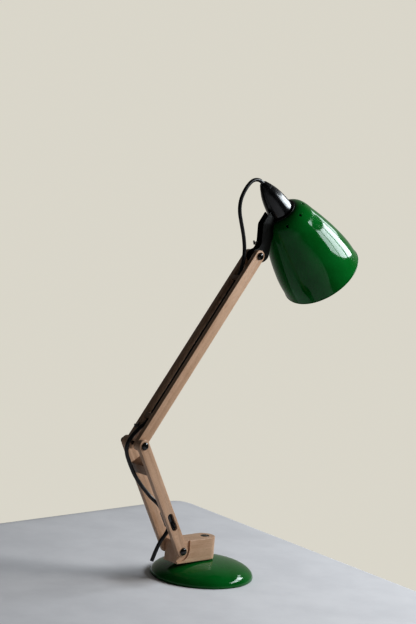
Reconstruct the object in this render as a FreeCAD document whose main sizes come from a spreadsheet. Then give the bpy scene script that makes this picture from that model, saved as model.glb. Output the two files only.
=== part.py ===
import FreeCAD, Part
import math
import os
import re
import Sketcher

# Swing arm desk lamp: a weighted dome, a swivelling wooden block, two pairs of wooden
# strips and a spun shade on a pressed bracket.  Millimetres, +Z up.  The origin is where
# the swivel axis meets the surface that the lamp stands on.  The arms lie in the XZ plane,
# the shade points towards +X, and the switch side faces -Y.

doc = FreeCAD.newDocument("swing_arm_desk_lamp")

# ---------------------------------------------------------------- driving dimensions
sizes = dict(
    # base
    baseRadius=82.5, baseTop=27.5, rimHeight=3.0, rimBottom=0.8, sheetMetal=1.2,
    padRadius=78.0, padThickness=2.0, weightGap=0.5,
    swivelRadius=4.0, swivelHole=4.05, swivelHeadRadius=6.7, swivelHeadHeight=2.8,
    swivelSeat=8.0, swivelSeatDepth=2.0, thrustRadius=12.0,
    nutPocket=13.0, nutPocketTop=12.0, nutRadius=7.5, nutHeight=6.5, plateRadius=11.0, plateThickness=1.6,
    # block
    blockLow=29.2, blockTop=64.5, blockBack=68.5, blockHalf=17.0, blockEdge=0.8,
    recessRadius=18.6, recessDepth=2.5, pivotBack=63.0, pivotHeight=50.5,
    # arms
    stripWidth=19.0, stripThickness=8.0, lowerInner=14.8, upperInner=6.5,
    lowerLength=197.0, upperLength=363.0, lowerLean=118.5, upperLean=53.7,
    lowerSpacerLow=147.0, lowerSpacerLength=18.0,
    upperSpacerLow=42.0, upperSpacerHigh=308.0, upperSpacerLength=9.0,
    slotLow=40.0, slotHigh=71.0, slotWidth=10.0,
    # clamping bolts
    boltRadius=3.0, boltHole=3.05, headRadius=6.0, headHeight=4.2,
    washerRadius=7.0, washerThickness=1.2, hubRadius=5.6, hubTip=4.4, hubHeight=7.0, boltSpare=2.0,
    baseNutTurn=130.0, elbowNutTurn=147.0, headNutTurn=120.0,
    # switch
    switchLow=41.0, switchHigh=73.0, switchHalf=5.2, switchBack=5.2, switchSplit=9.0, switchCorner=6.0,
    bossGap=0.3, bossFace=20.0, windowLow=43.0, windowHigh=68.0, windowWidth=7.0, windowFloor=16.2,
    rockerGap=0.5, rockerAxis=18.4, rockerTilt=8.0,
    # head, measured along the shade axis from the middle of its mouth
    mouthX=215.2, mouthZ=488.5, shadePitch=43.6, mouthRadius=68.4, shadeTop=146.0, shadeSheet=0.9,
    ringRadius=25.3, ringThickness=2.0, barrelRadius=14.0, barrelBore=11.5, barrelLow=112.0, barrelTop=150.0,
    clampRadius=20.0, clampHeight=6.0, ventRadius=2.0, ventCircle=36.8,
    bracketHalf=6.3, bracketSheet=1.5, earRadius=10.5,
    coverLow=148.4, coverRadius=21.3, coverTop=197.0, coverTip=10.4, coverWall=2.0,
    gripTop=208.0, gripTip=5.2, capRadius=11.0, capLow=111.0, capTop=137.0,
    # flex
    cordRadius=3.0, cordOffset=3.5,
)

sheet = doc.addObject("Spreadsheet::Sheet", "Dims")
for row, (word, number) in enumerate(sizes.items(), start=1):
    sheet.set("A%d" % row, word)
    sheet.set("B%d" % row, str(number))
    sheet.setAlias("B%d" % row, word)
doc.recompute()


def size(word):
    return float(getattr(sheet, word))


def formula(text):
    # every known word in the text becomes a reference to its cell
    return re.sub(r"[A-Za-z]+", lambda w: "Dims." + w.group() if w.group() in sizes else w.group(), str(text))


def bind(item, **formulas):
    for prop, text in formulas.items():
        item.setExpression(prop, formula(text))


def place(item, x="0", y="0", z="0", pitch=None):
    # puts an object at x, y, z, turned by pitch degrees about +Y
    if pitch is not None:
        item.Placement = FreeCAD.Placement(FreeCAD.Vector(), FreeCAD.Rotation(FreeCAD.Vector(0, 1, 0), 30))
        item.setExpression("Placement.Rotation.Angle", formula(pitch))
    for axis, text in zip("xyz", (x, y, z)):
        item.setExpression("Placement.Base." + axis, formula(text))
    return item


subParts = []


def named(item, label):
    item.Label = label
    subParts.append(item)
    return item


# ---------------------------------------------------------------- sketch helpers
def newSketch(body, plane):
    sketch = body.newObject("Sketcher::SketchObject", body.Name + "_" + plane[:2])
    face = [f for f in body.Origin.OriginFeatures if f.Role == plane][0]
    sketch.AttachmentSupport = [(face, "")]
    sketch.MapMode = "FlatFace"
    return sketch


def addOutline(sketch, corners):
    # a closed outline, each corner held at a pair of formulas
    first = sketch.GeometryCount
    count = len(corners)
    ring = [FreeCAD.Vector(9 * math.cos(2 * math.pi * i / count), 9 * math.sin(2 * math.pi * i / count), 0)
            for i in range(count)]
    for i in range(count):
        sketch.addGeometry(Part.LineSegment(ring[i], ring[(i + 1) % count]), False)
    for i in range(count):
        sketch.addConstraint(Sketcher.Constraint("Coincident", first + i, 2, first + (i + 1) % count, 1))
    for i, (across, up) in enumerate(corners):
        for kind, text in (("DistanceX", across), ("DistanceY", up)):
            number = sketch.addConstraint(Sketcher.Constraint(kind, -1, 1, first + i, 1, 1.0))
            sketch.setExpression("Constraints[%d]" % number, formula(text))


def addHole(sketch, across, up, radius):
    hole = sketch.addGeometry(Part.Circle(FreeCAD.Vector(1, 1, 0), FreeCAD.Vector(0, 0, 1), 1), False)
    for kind, text in (("DistanceX", across), ("DistanceY", up)):
        if text == "0":
            sketch.addConstraint(Sketcher.Constraint("PointOnObject", hole, 3, -2 if kind == "DistanceX" else -1))
            continue
        number = sketch.addConstraint(Sketcher.Constraint(kind, -1, 1, hole, 3, 1.0))
        sketch.setExpression("Constraints[%d]" % number, formula(text))
    number = sketch.addConstraint(Sketcher.Constraint("Radius", hole, 1.0))
    sketch.setExpression("Constraints[%d]" % number, formula(radius))


def addStadium(sketch, low, high, radius):
    # a bar with round ends along the sketch's first axis; each size is a number and its formula
    (lowEnd, _), (highEnd, _), (reach, _) = low, high, radius
    a, b = FreeCAD.Vector(lowEnd, 0, 0), FreeCAD.Vector(highEnd, 0, 0)
    up, normal = FreeCAD.Vector(0, reach, 0), FreeCAD.Vector(0, 0, 1)
    first = sketch.GeometryCount
    sketch.addGeometry(Part.LineSegment(a - up, b - up), False)
    sketch.addGeometry(Part.ArcOfCircle(Part.Circle(b, normal, reach), -math.pi / 2, math.pi / 2), False)
    sketch.addGeometry(Part.LineSegment(b + up, a + up), False)
    sketch.addGeometry(Part.ArcOfCircle(Part.Circle(a, normal, reach), math.pi / 2, 3 * math.pi / 2), False)
    for one, end, two, start in ((0, 2, 1, 1), (1, 2, 2, 1), (2, 2, 3, 1), (3, 2, 0, 1)):
        sketch.addConstraint(Sketcher.Constraint("Tangent", first + one, end, first + two, start))
    for arc, (value, text) in ((1, high), (3, low)):
        sketch.addConstraint(Sketcher.Constraint("PointOnObject", first + arc, 3, -1))
        if value:
            number = sketch.addConstraint(Sketcher.Constraint("DistanceX", -1, 1, first + arc, 3, value))
            sketch.setExpression("Constraints[%d]" % number, formula(text))
        else:
            sketch.delConstraint(sketch.ConstraintCount - 1)
            sketch.addConstraint(Sketcher.Constraint("Coincident", first + arc, 3, -1, 1))
    number = sketch.addConstraint(Sketcher.Constraint("Radius", first + 1, reach))
    sketch.setExpression("Constraints[%d]" % number, formula(radius[1]))


def newBody(label):
    return named(doc.addObject("PartDesign::Body", label), label)


def pad(body, sketch, length):
    feature = body.newObject("PartDesign::Pad", body.Name + "_pad")
    feature.Profile = sketch
    feature.setExpression("Length", formula(length))
    sketch.Visibility = False
    return feature


def turned(label, corners, z="0"):
    # a lathe-turned piece: corners are pairs of radius and height
    body = newBody(label)
    sketch = newSketch(body, "XZ_Plane")
    addOutline(sketch, corners)
    doc.recompute()
    spin = body.newObject("PartDesign::Revolution", label + "_turn")
    spin.Profile = sketch
    spin.ReferenceAxis = (sketch, ["V_Axis"])
    spin.Angle = 360
    place(body, z=z)
    return body


def ring(label, inner, outer, low, high):
    return turned(label, [(inner, low), (outer, low), (outer, high), (inner, high)])


def spunSolid(rows, floor):
    # a smooth profile of (radius, height) rows, closed to the axis at both ends and turned
    points = [FreeCAD.Vector(r, 0, h) for r, h in rows]
    curve = Part.BSplineCurve()
    curve.interpolate(points)
    top = FreeCAD.Vector(0, 0, points[-1].z)
    edges = [curve.toShape()]
    if points[-1].x > 1e-6:
        edges.append(Part.LineSegment(points[-1], top).toShape())
    edges.append(Part.LineSegment(top, FreeCAD.Vector(0, 0, floor)).toShape())
    edges.append(Part.LineSegment(FreeCAD.Vector(0, 0, floor), FreeCAD.Vector(points[0].x, 0, floor)).toShape())
    if abs(floor - points[0].z) > 1e-6:
        edges.append(Part.LineSegment(FreeCAD.Vector(points[0].x, 0, floor), points[0]).toShape())
    face = Part.Face(Part.Wire(Part.__sortEdges__(edges)))
    return face.revolve(FreeCAD.Vector(), FreeCAD.Vector(0, 0, 1), 360)


def inset(rows, depth):
    # moves each row of a profile inwards, square to the line through its neighbours
    moved = []
    for i, (r, h) in enumerate(rows):
        (r0, h0), (r1, h1) = rows[max(i - 1, 0)], rows[min(i + 1, len(rows) - 1)]
        length = math.hypot(r1 - r0, h1 - h0)
        moved.append((r - depth * (h1 - h0) / length, h + depth * (r1 - r0) / length))
    return moved


def keep(label, shape, placement=None):
    feature = named(doc.addObject("Part::Feature", label), label)
    feature.Shape = shape
    if placement is not None:
        feature.Placement = placement
    return feature


# ---------------------------------------------------------------- base
def domeRows(radius, low, top):
    # the spun dome: a flattened bell that meets the rim square to the table
    rows = []
    for step in range(13):
        r = radius * math.sin(math.pi / 2 * (1 - step / 12))
        rows.append((r, low + (top - low) * math.sqrt(max(0.0, 1 - (r / radius) ** 2.6))))
    return rows


def makeBase():
    radius, top, rim = size("baseRadius"), size("baseTop"), size("rimHeight")
    wall, bottom = size("sheetMetal"), size("rimBottom")
    outer = spunSolid(domeRows(radius, rim, top), bottom)
    inner = spunSolid(domeRows(radius - wall, rim, top - wall), bottom - 1)
    bore = Part.makeCylinder(size("swivelHole"), top + 5)
    keep("base_dome", outer.cut(inner).cut(bore))
    gap = wall + size("weightGap")
    weight = spunSolid(domeRows(radius - gap, rim, top - wall), size("padThickness") + 0.2)
    pocketShape = Part.makeCylinder(size("nutPocket"), size("nutPocketTop"))
    keep("base_weight", weight.cut(bore).cut(pocketShape))
    ring("base_pad", "0", "padRadius", "0", "padThickness")
    ring("swivel_thrust_washer", "swivelHole", "thrustRadius", "baseTop", "blockLow - 0.1")
    headSeat = "blockTop - swivelSeatDepth + 0.1"
    low = "padThickness + 1"
    turned("swivel_bolt", [
        ("0", low), ("swivelRadius", low), ("swivelRadius", headSeat), ("swivelHeadRadius", headSeat),
        ("swivelHeadRadius", headSeat + " + 0.9"), ("swivelHeadRadius * 0.72", headSeat + " + swivelHeadHeight * 0.82"),
        ("0", headSeat + " + swivelHeadHeight")])
    ring("swivel_plate_washer", "swivelHole", "plateRadius", "nutPocketTop - plateThickness", "nutPocketTop")
    nutTop = size("nutPocketTop") - size("plateThickness")
    hexagon = Part.makePolygon([FreeCAD.Vector(size("nutRadius") * math.cos(math.radians(60 * k)),
                                               size("nutRadius") * math.sin(math.radians(60 * k)),
                                               nutTop - size("nutHeight")) for k in range(7)])
    nut = Part.Face(hexagon).extrude(FreeCAD.Vector(0, 0, size("nutHeight")))
    keep("swivel_nut", nut.cut(Part.makeCylinder(size("swivelRadius"), 30)))


# ---------------------------------------------------------------- block
def makeBlock():
    body = newBody("pivot_block")
    plan = newSketch(body, "XY_Plane")
    half, back = size("blockHalf"), size("blockBack")
    a, b = FreeCAD.Vector(-back, half, 0), FreeCAD.Vector(-back, -half, 0)
    c, d = FreeCAD.Vector(0, -half, 0), FreeCAD.Vector(0, half, 0)
    for start, end in ((a, b), (b, c), (d, a)):
        plan.addGeometry(Part.LineSegment(start, end), False)
    nose = Part.Circle(FreeCAD.Vector(), FreeCAD.Vector(0, 0, 1), half)
    plan.addGeometry(Part.ArcOfCircle(nose, -math.pi / 2, math.pi / 2), False)
    plan.addConstraint(Sketcher.Constraint("Coincident", 0, 2, 1, 1))
    plan.addConstraint(Sketcher.Constraint("Coincident", 2, 2, 0, 1))
    plan.addConstraint(Sketcher.Constraint("Tangent", 1, 2, 3, 1))
    plan.addConstraint(Sketcher.Constraint("Tangent", 3, 2, 2, 1))
    plan.addConstraint(Sketcher.Constraint("Coincident", 3, 3, -1, 1))
    plan.addConstraint(Sketcher.Constraint("Vertical", 0))
    plan.addConstraint(Sketcher.Constraint("Horizontal", 1))
    radius = plan.addConstraint(Sketcher.Constraint("Radius", 3, half))
    plan.setExpression("Constraints[%d]" % radius, formula("blockHalf"))
    reach = plan.addConstraint(Sketcher.Constraint("DistanceX", 0, 1, -1, 1, back))
    plan.setExpression("Constraints[%d]" % reach, formula("blockBack"))
    block = pad(body, plan, "blockTop - blockLow")
    doc.recompute()
    edges = ["Edge%d" % (i + 1) for i in range(len(block.Shape.Edges))]
    soften = body.newObject("PartDesign::Fillet", "pivot_block_fillet")
    soften.Base = (block, edges)
    bind(soften, Radius="blockEdge")
    place(body, z="blockLow")
    doc.recompute()
    # bores and the U-shaped recesses that the lower strips turn in
    cutters = []
    bore = doc.addObject("Part::Cylinder", "block_swivel_bore")
    bind(bore, Radius="swivelHole", Height="blockTop")
    seat = doc.addObject("Part::Cylinder", "block_head_seat")
    bind(seat, Radius="swivelSeat", Height="swivelSeatDepth * 2")
    place(seat, z="blockTop - swivelSeatDepth")
    cutters += [bore, seat]
    across = doc.addObject("Part::Cylinder", "block_pivot_bore")
    bind(across, Radius="boltHole", Height="blockHalf * 4")
    cutters.append(layAlongY(across, "-pivotBack", "-blockHalf * 2", "pivotHeight"))
    for side, start in (("near", "-blockHalf - 1"), ("far", "blockHalf - recessDepth")):
        recess = doc.addObject("Part::Cylinder", "block_recess_" + side)
        bind(recess, Radius="recessRadius", Height="recessDepth + 1")
        upright = doc.addObject("Part::Box", "block_recess_upright_" + side)
        bind(upright, Length="2 * recessRadius", Width="recessDepth + 1", Height="blockTop")
        place(upright, "-pivotBack - recessRadius", start, "pivotHeight")
        cutters += [layAlongY(recess, "-pivotBack", start, "pivotHeight"), upright]
    subParts.remove(body)
    body.Label = "pivot_block_blank"
    tools = doc.addObject("Part::MultiFuse", "pivot_block_cutters")
    tools.Shapes = cutters
    cut = doc.addObject("Part::Cut", "pivot_block_cut")
    cut.Base, cut.Tool = body, tools
    named(cut, "pivot_block")


def layAlongY(item, x, y, z):
    # an upright primitive laid down so that its height runs along +Y
    item.Placement = FreeCAD.Placement(FreeCAD.Vector(), FreeCAD.Rotation(FreeCAD.Vector(1, 0, 0), -90))
    for axis, text in zip("xyz", (x, y, z)):
        item.setExpression("Placement.Base." + axis, formula(text))
    return item


# ---------------------------------------------------------------- places on the arms
basePivot = FreeCAD.Vector(-size("pivotBack"), 0, size("pivotHeight"))
lean = math.radians(size("lowerLean"))
lowerAlong = FreeCAD.Vector(math.cos(lean), 0, math.sin(lean))
lowerRear = FreeCAD.Vector(-math.sin(lean), 0, math.cos(lean))
elbow = basePivot + lowerAlong * size("lowerLength")
lean = math.radians(size("upperLean"))
upperAlong = FreeCAD.Vector(math.cos(lean), 0, math.sin(lean))
upperRear = FreeCAD.Vector(-math.sin(lean), 0, math.cos(lean))
headPivot = elbow + upperAlong * size("upperLength")
pitch = math.radians(size("shadePitch"))
mouth = FreeCAD.Vector(size("mouthX"), 0, size("mouthZ"))
shadeUp = FreeCAD.Vector(-math.cos(pitch), 0, math.sin(pitch))
headPlace = FreeCAD.Placement(mouth, FreeCAD.Rotation(FreeCAD.Vector(0, 1, 0), size("shadePitch") - 90))

def onUpper(along, rear, y):
    return elbow + upperAlong * along + upperRear * rear + FreeCAD.Vector(0, y, 0)


def onLower(along, rear, y):
    return basePivot + lowerAlong * along + lowerRear * rear + FreeCAD.Vector(0, y, 0)


elbowX = "-pivotBack + lowerLength * cos(lowerLean * 1deg)"
elbowZ = "pivotHeight + lowerLength * sin(lowerLean * 1deg)"
headX = elbowX + " + upperLength * cos(upperLean * 1deg)"
headZ = elbowZ + " + upperLength * sin(upperLean * 1deg)"


# ---------------------------------------------------------------- wooden strips and spacers
def strip(label, length, x, z, leanFormula, rearFace, slot=False):
    # a flat bar along its own X from pivot to pivot; its thickness reaches towards -Y
    body = newBody(label)
    sketch = newSketch(body, "XZ_Plane")
    half = size("stripWidth") / 2
    addStadium(sketch, (0, "0"), (size(length), length), (half, "stripWidth / 2"))
    addHole(sketch, "0", "0", "boltHole")
    addHole(sketch, length, "0", "boltHole")
    if slot:
        inner = size("slotWidth") / 2
        addStadium(sketch, (size("slotLow") + inner, "slotLow + slotWidth / 2"),
                   (size("slotHigh") - inner, "slotHigh - slotWidth / 2"), (inner, "slotWidth / 2"))
    doc.recompute()
    pad(body, sketch, "stripThickness")
    return place(body, x, rearFace, z, pitch="-(%s)" % leanFormula)


def spacer(label, low, length, gap, x, z, leanFormula, cordHole=False):
    # a wooden filler between two strips, drilled along its length where the flex runs
    body = newBody(label)
    sketch = newSketch(body, "YZ_Plane")
    half = "stripWidth / 2"
    addOutline(sketch, [("-" + gap, "-" + half), (gap, "-" + half), (gap, half), ("-" + gap, half)])
    if cordHole:
        addHole(sketch, "0", "cordOffset", "cordRadius + 0.5")
    doc.recompute()
    pad(body, sketch, length)
    leanAngle = "(%s) * 1deg" % leanFormula
    return place(body, "%s + (%s) * cos(%s)" % (x, low, leanAngle), "0",
                 "%s + (%s) * sin(%s)" % (z, low, leanAngle), pitch="-(%s)" % leanFormula)


def makeArms():
    for side, outer in (("near", "-lowerInner"), ("far", "lowerInner + stripThickness")):
        strip("lower_strip_" + side, "lowerLength", "-pivotBack", "pivotHeight", "lowerLean", outer,
              slot=side == "near")
    for side, outer in (("near", "-upperInner"), ("far", "upperInner + stripThickness")):
        strip("upper_strip_" + side, "upperLength", elbowX, elbowZ, "upperLean", outer)
    spacer("lower_spacer", "lowerSpacerLow", "lowerSpacerLength", "lowerInner", "-pivotBack", "pivotHeight",
           "lowerLean")
    for word in ("Low", "High"):
        spacer("upper_spacer_" + word.lower(), "upperSpacer" + word, "upperSpacerLength", "upperInner",
               elbowX, elbowZ, "upperLean", cordHole=True)


# ---------------------------------------------------------------- clamping bolts, washers and wing nuts
def clampBolt(label, x, z, face):
    # domed head against the near face, shank through to the wing nut on the far side
    nutFace = face + " + washerThickness + hubHeight + boltSpare"
    body = turned(label, [
        ("0", "-(%s)" % nutFace), ("boltRadius", "-(%s)" % nutFace), ("boltRadius", face),
        ("headRadius", face), ("headRadius", face + " + headHeight * 0.25"),
        ("headRadius * 0.86", face + " + headHeight * 0.66"), ("headRadius * 0.5", face + " + headHeight * 0.93"),
        ("0", face + " + headHeight")])
    body.Placement = FreeCAD.Placement(FreeCAD.Vector(), FreeCAD.Rotation(FreeCAD.Vector(1, 0, 0), 90))
    for axis, text in (("x", x), ("z", z)):
        body.setExpression("Placement.Base." + axis, formula(text))


def wingNut(label, x, z, face, turn):
    start = face + " + washerThickness + 0.1"
    hub = doc.addObject("Part::Cone", label + "_hub")
    bind(hub, Radius1="hubRadius", Radius2="hubTip", Height="hubHeight")
    layAlongY(hub, x, start, z)
    wings = doc.addObject("PartDesign::Body", label + "_wings")
    sketch = newSketch(wings, "XY_Plane")
    outline = [("2.5", "1.2"), ("hubRadius", "1.2"), ("hubRadius + 3.6", "3.9"), ("hubRadius + 5.3", "5.8"),
               ("hubRadius + 5.2", "7.6"), ("hubRadius + 3.6", "8.2"), ("hubTip", "hubHeight - 0.8"),
               ("2.5", "hubHeight - 0.8")]
    addOutline(sketch, outline)
    addOutline(sketch, [("-(%s)" % across, up) for across, up in outline])
    doc.recompute()
    wing = pad(wings, sketch, "2.4")
    wing.Midplane = True
    place(wings, x, start, z, pitch="-" + turn)
    joined = doc.addObject("Part::MultiFuse", label + "_joined")
    joined.Shapes = [hub, wings]
    bore = doc.addObject("Part::Cylinder", label + "_bore")
    bind(bore, Radius="boltHole", Height="hubHeight * 3")
    layAlongY(bore, x, face, z)
    nut = doc.addObject("Part::Cut", label + "_cut")
    nut.Base, nut.Tool = joined, bore
    named(nut, label)


def washer(label, x, z, face):
    disc = doc.addObject("Part::Cylinder", label + "_disc")
    bind(disc, Radius="washerRadius", Height="washerThickness")
    layAlongY(disc, x, face, z)
    bore = doc.addObject("Part::Cylinder", label + "_bore")
    bind(bore, Radius="boltRadius", Height="washerThickness * 3")
    layAlongY(bore, x, face + " - washerThickness", z)
    cut = doc.addObject("Part::Cut", label + "_cut")
    cut.Base, cut.Tool = disc, bore
    named(cut, label)


def makeClamps():
    lowerFace, upperFace = "lowerInner + stripThickness", "upperInner + stripThickness"
    for word, x, z, face in (("base", "-pivotBack", "pivotHeight", lowerFace),
                             ("elbow", elbowX, elbowZ, lowerFace), ("head", headX, headZ, upperFace)):
        clampBolt(word + "_bolt", x, z, face)
        washer(word + "_washer", x, z, face)
        wingNut(word + "_wing_nut", x, z, face, word + "NutTurn")


# ---------------------------------------------------------------- switch let into the lower near strip
def armPrism(corners, back, front):
    # a flat outline of (along, rear) places on the lower arm, between two depths towards -Y
    points = [onLower(along, rear, -front) for along, rear in corners]
    return Part.Face(Part.makePolygon(points + points[:1])).extrude(FreeCAD.Vector(0, front - back, 0))


def roundedBar(low, high, width, back, front):
    # a bar with round ends on the lower arm, between two depths towards -Y
    reach = width / 2
    start, run = onLower(low + reach, 0, -front), high - low - width
    ends = [Part.makeCylinder(reach, front - back, start + lowerAlong * along, FreeCAD.Vector(0, 1, 0))
            for along in (0, run)]
    middle = armPrism([(low + reach, -reach), (high - reach, -reach), (high - reach, reach), (low + reach, reach)],
                      back, front)
    return middle.fuse(ends).removeSplitter()


def makeSwitch():
    # the body has one slanting corner, where the flex leaves it
    low, high, half, corner = size("switchLow"), size("switchHigh"), size("switchHalf"), size("switchCorner")
    outline = [(low, -half), (high, -half), (high, half), (low + corner, half), (low, half - corner)]
    keep("switch_back", armPrism(outline, size("switchBack"), size("switchSplit")))
    front = armPrism(outline, size("switchSplit"), size("lowerInner"))
    gap, inner, face = size("bossGap"), size("lowerInner"), size("bossFace")
    boss = roundedBar(size("slotLow") + gap, size("slotHigh") - gap, size("slotWidth") - 2 * gap, inner, face)
    low, high, width = size("windowLow"), size("windowHigh"), size("windowWidth")
    window = roundedBar(low, high, width, size("windowFloor"), face + 1)
    keep("switch_front", front.fuse(boss).cut(window).removeSplitter())
    # the rocker: two facets over a shallow belly, with round ends, resting tilted to one side
    axis, slack = size("rockerAxis"), size("rockerGap")
    middle, reach = (low + high) / 2, (high - low) / 2 - slack
    corners = [(-reach, -0.1), (-reach * 0.4, -1.2), (reach * 0.4, -1.2), (reach, -0.1), (reach, 3.4), (0, 1.2),
               (-reach, 3.4)]
    hinge = onLower(middle, 0, -axis)
    points = [hinge + lowerAlong * along - FreeCAD.Vector(0, depth, 0) - lowerRear * width
              for along, depth in corners]
    facets = Part.Face(Part.makePolygon(points + points[:1])).extrude(lowerRear * (2 * width))
    plan = roundedBar(low + slack, high - slack, width - 2 * slack, axis - 5, axis + 5)
    rocker = facets.common(plan)
    rocker.rotate(hinge, lowerRear, size("rockerTilt"))
    keep("switch_rocker", rocker)
    return hinge


# ---------------------------------------------------------------- head
shadeRows = [(68.4, 0), (66.7, 30), (61.0, 62), (53.4, 92), (46.6, 114), (42.6, 127), (37.2, 138), (29.0, 144.6),
             (20.0, 146.0)]


def makeShade():
    outer = spunSolid(shadeRows, 0)
    inner = spunSolid(inset(shadeRows, size("shadeSheet")), -1)
    shade = outer.cut(inner).cut(Part.makeCylinder(size("barrelRadius") + 0.3, 200))
    # a ring of eight vent holes round the shoulder
    for k in range(8):
        turn = math.radians(45 * k - 5)
        where = FreeCAD.Vector(size("ventCircle") * math.cos(turn), -size("ventCircle") * math.sin(turn), 100)
        shade = shade.cut(Part.makeCylinder(size("ventRadius"), 80, where))
    lip = Part.makeTorus(size("mouthRadius") - 0.5, 1.1, FreeCAD.Vector(0, 0, 0.6))
    keep("shade", shade.fuse(lip).removeSplitter(), headPlace)


def headTurned(label, corners):
    body = turned(label, corners)
    body.Placement = headPlace
    for axis, text in (("x", "mouthX"), ("z", "mouthZ")):
        body.setExpression("Placement.Base." + axis, formula(text))
    return body


def headRing(label, inner, outer, low, high):
    return headTurned(label, [(inner, low), (outer, low), (outer, high), (inner, high)])


# the bracket's side, in the head's own axes: rear edge, ear round the pivot, front edge
bracketRear = [(-22.2, 166.0), (-45.0, 162.5), (-68.0, 140.4), (-78.0, 139.3), (-84.0, 142.6)]
bracketFoot = [(-95.5, 125.2), (-86.0, 115.0), (-79.0, 112.0), (-72.4, 112.6)]
bracketFront = [(-51.5, 128.2), (-46.3, 135.0), (-38.6, 143.0), (-32.0, 148.2), (-22.2, 148.2)]


def flatSolid(corners, y0, y1):
    points = [FreeCAD.Vector(x, y0, z) for x, z in corners]
    return Part.Face(Part.makePolygon(points + points[:1])).extrude(FreeCAD.Vector(0, y1 - y0, 0))


def makeBracket():
    half, wall = size("bracketHalf"), size("bracketSheet")
    pivot = headPlace.inverse().multVec(headPivot)
    ear = Part.makeCylinder(size("earRadius"), 2 * half, FreeCAD.Vector(pivot.x, -half, pivot.z),
                            FreeCAD.Vector(0, 1, 0))
    side = flatSolid(bracketRear + [(pivot.x, pivot.z)] + bracketFoot + bracketFront, -half, half).fuse(ear)
    # everything behind the front web is open between the two cheeks
    inner = [(x - wall * 0.85, z + wall) for x, z in bracketFoot[-1:] + bracketFront[:-1]]
    opening = [(-20, 149.9), (-20, 180), (-120, 180), (-120, 95), (-76, 95)] + inner
    channel = side.cut(flatSolid(opening, wall - half, half - wall))
    low, thick = size("shadeTop") + 0.2, size("ringThickness")
    plate = Part.makeCylinder(size("ringRadius"), thick, FreeCAD.Vector(0, 0, low))
    tongue = flatSolid([(-33.5, low), (-20, low), (-20, low + thick), (-33.5, low + thick)], -half, half)
    shape = channel.fuse([plate, tongue])
    shape = shape.cut(Part.makeCylinder(size("barrelRadius") + 0.1, 60, FreeCAD.Vector(0, 0, 120)))
    shape = shape.cut(Part.makeCylinder(size("boltHole"), 40, FreeCAD.Vector(pivot.x, -20, pivot.z),
                                        FreeCAD.Vector(0, 1, 0)))
    keep("head_bracket", shape.removeSplitter(), headPlace)


def makeLampholder():
    tip = "shadeTop - shadeSheet - 0.2"
    headRing("shade_clamp_ring", "barrelRadius", "clampRadius", tip + " - clampHeight", tip)
    barrel = headTurned("lampholder_barrel", [
        ("barrelBore", "barrelLow"), ("barrelRadius", "barrelLow"), ("barrelRadius", "barrelTop - 1.5"),
        ("17.5", "barrelTop - 1.5"), ("17.5", "barrelTop + 1.5"), ("0", "barrelTop + 1.5"),
        ("0", "barrelTop - 4"), ("barrelBore", "barrelTop - 4")])
    headTurned("terminal_block", [
        ("0", "barrelTop + 1.5"), ("11", "barrelTop + 1.5"), ("11", "barrelTop + 12"), ("6", "barrelTop + 16"),
        ("0", "barrelTop + 16")])
    plungers = [Part.makeCylinder(1.7, size("barrelTop") - 4 - size("capTop"),
                                  FreeCAD.Vector(x, 0, size("capTop"))) for x in (-4.6, 4.6)]
    keep("contact_plungers", Part.makeCompound(plungers), headPlace)
    rows = [(21.3, 148.4), (19.9, 161), (16.9, 178), (10.4, 197)]
    outer = spunSolid(rows, size("coverLow"))
    inner = spunSolid([(r - size("coverWall"), z) for r, z in rows], size("coverLow"))
    keep("lampholder_cover", outer.cut(inner), headPlace)
    headTurned("cord_grip", [
        ("cordRadius", "coverTop"), ("coverTip", "coverTop"), ("coverTip - 1.0", "coverTop + 4"),
        ("gripTip + 0.8", "gripTop - 2"), ("gripTip", "gripTop"), ("cordRadius", "gripTop")])
    cap = headTurned("bulb_cap", [
        ("9.6", "capLow"), ("capRadius", "capLow"), ("capRadius", "capTop - 1"), ("capRadius - 2", "capTop"),
        ("0", "capTop"), ("0", "capTop - 2"), ("9.6", "capTop - 2")])
    glass = [(0.0, 33.0), (11.5, 35.4), (22.0, 42.0), (29.0, 54.0), (29.6, 66.0), (25.0, 80.0), (17.0, 95.0),
             (13.0, 105.0), (12.4, 110.6)]
    outerGlass = spunGlass(glass)
    innerGlass = spunGlass([(max(0.0, r - 0.8), z + 0.8 * (z < 60)) for r, z in glass])
    keep("bulb_glass", outerGlass.cut(innerGlass), headPlace)
    return barrel, cap


def spunGlass(rows):
    points = [FreeCAD.Vector(r, 0, z) for r, z in rows]
    curve = Part.BSplineCurve()
    curve.interpolate(points)
    top = FreeCAD.Vector(0, 0, points[-1].z)
    edges = [curve.toShape(), Part.LineSegment(points[-1], top).toShape(),
             Part.LineSegment(top, points[0]).toShape()]
    return Part.Face(Part.Wire(edges)).revolve(FreeCAD.Vector(), FreeCAD.Vector(0, 0, 1), 360)


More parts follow.
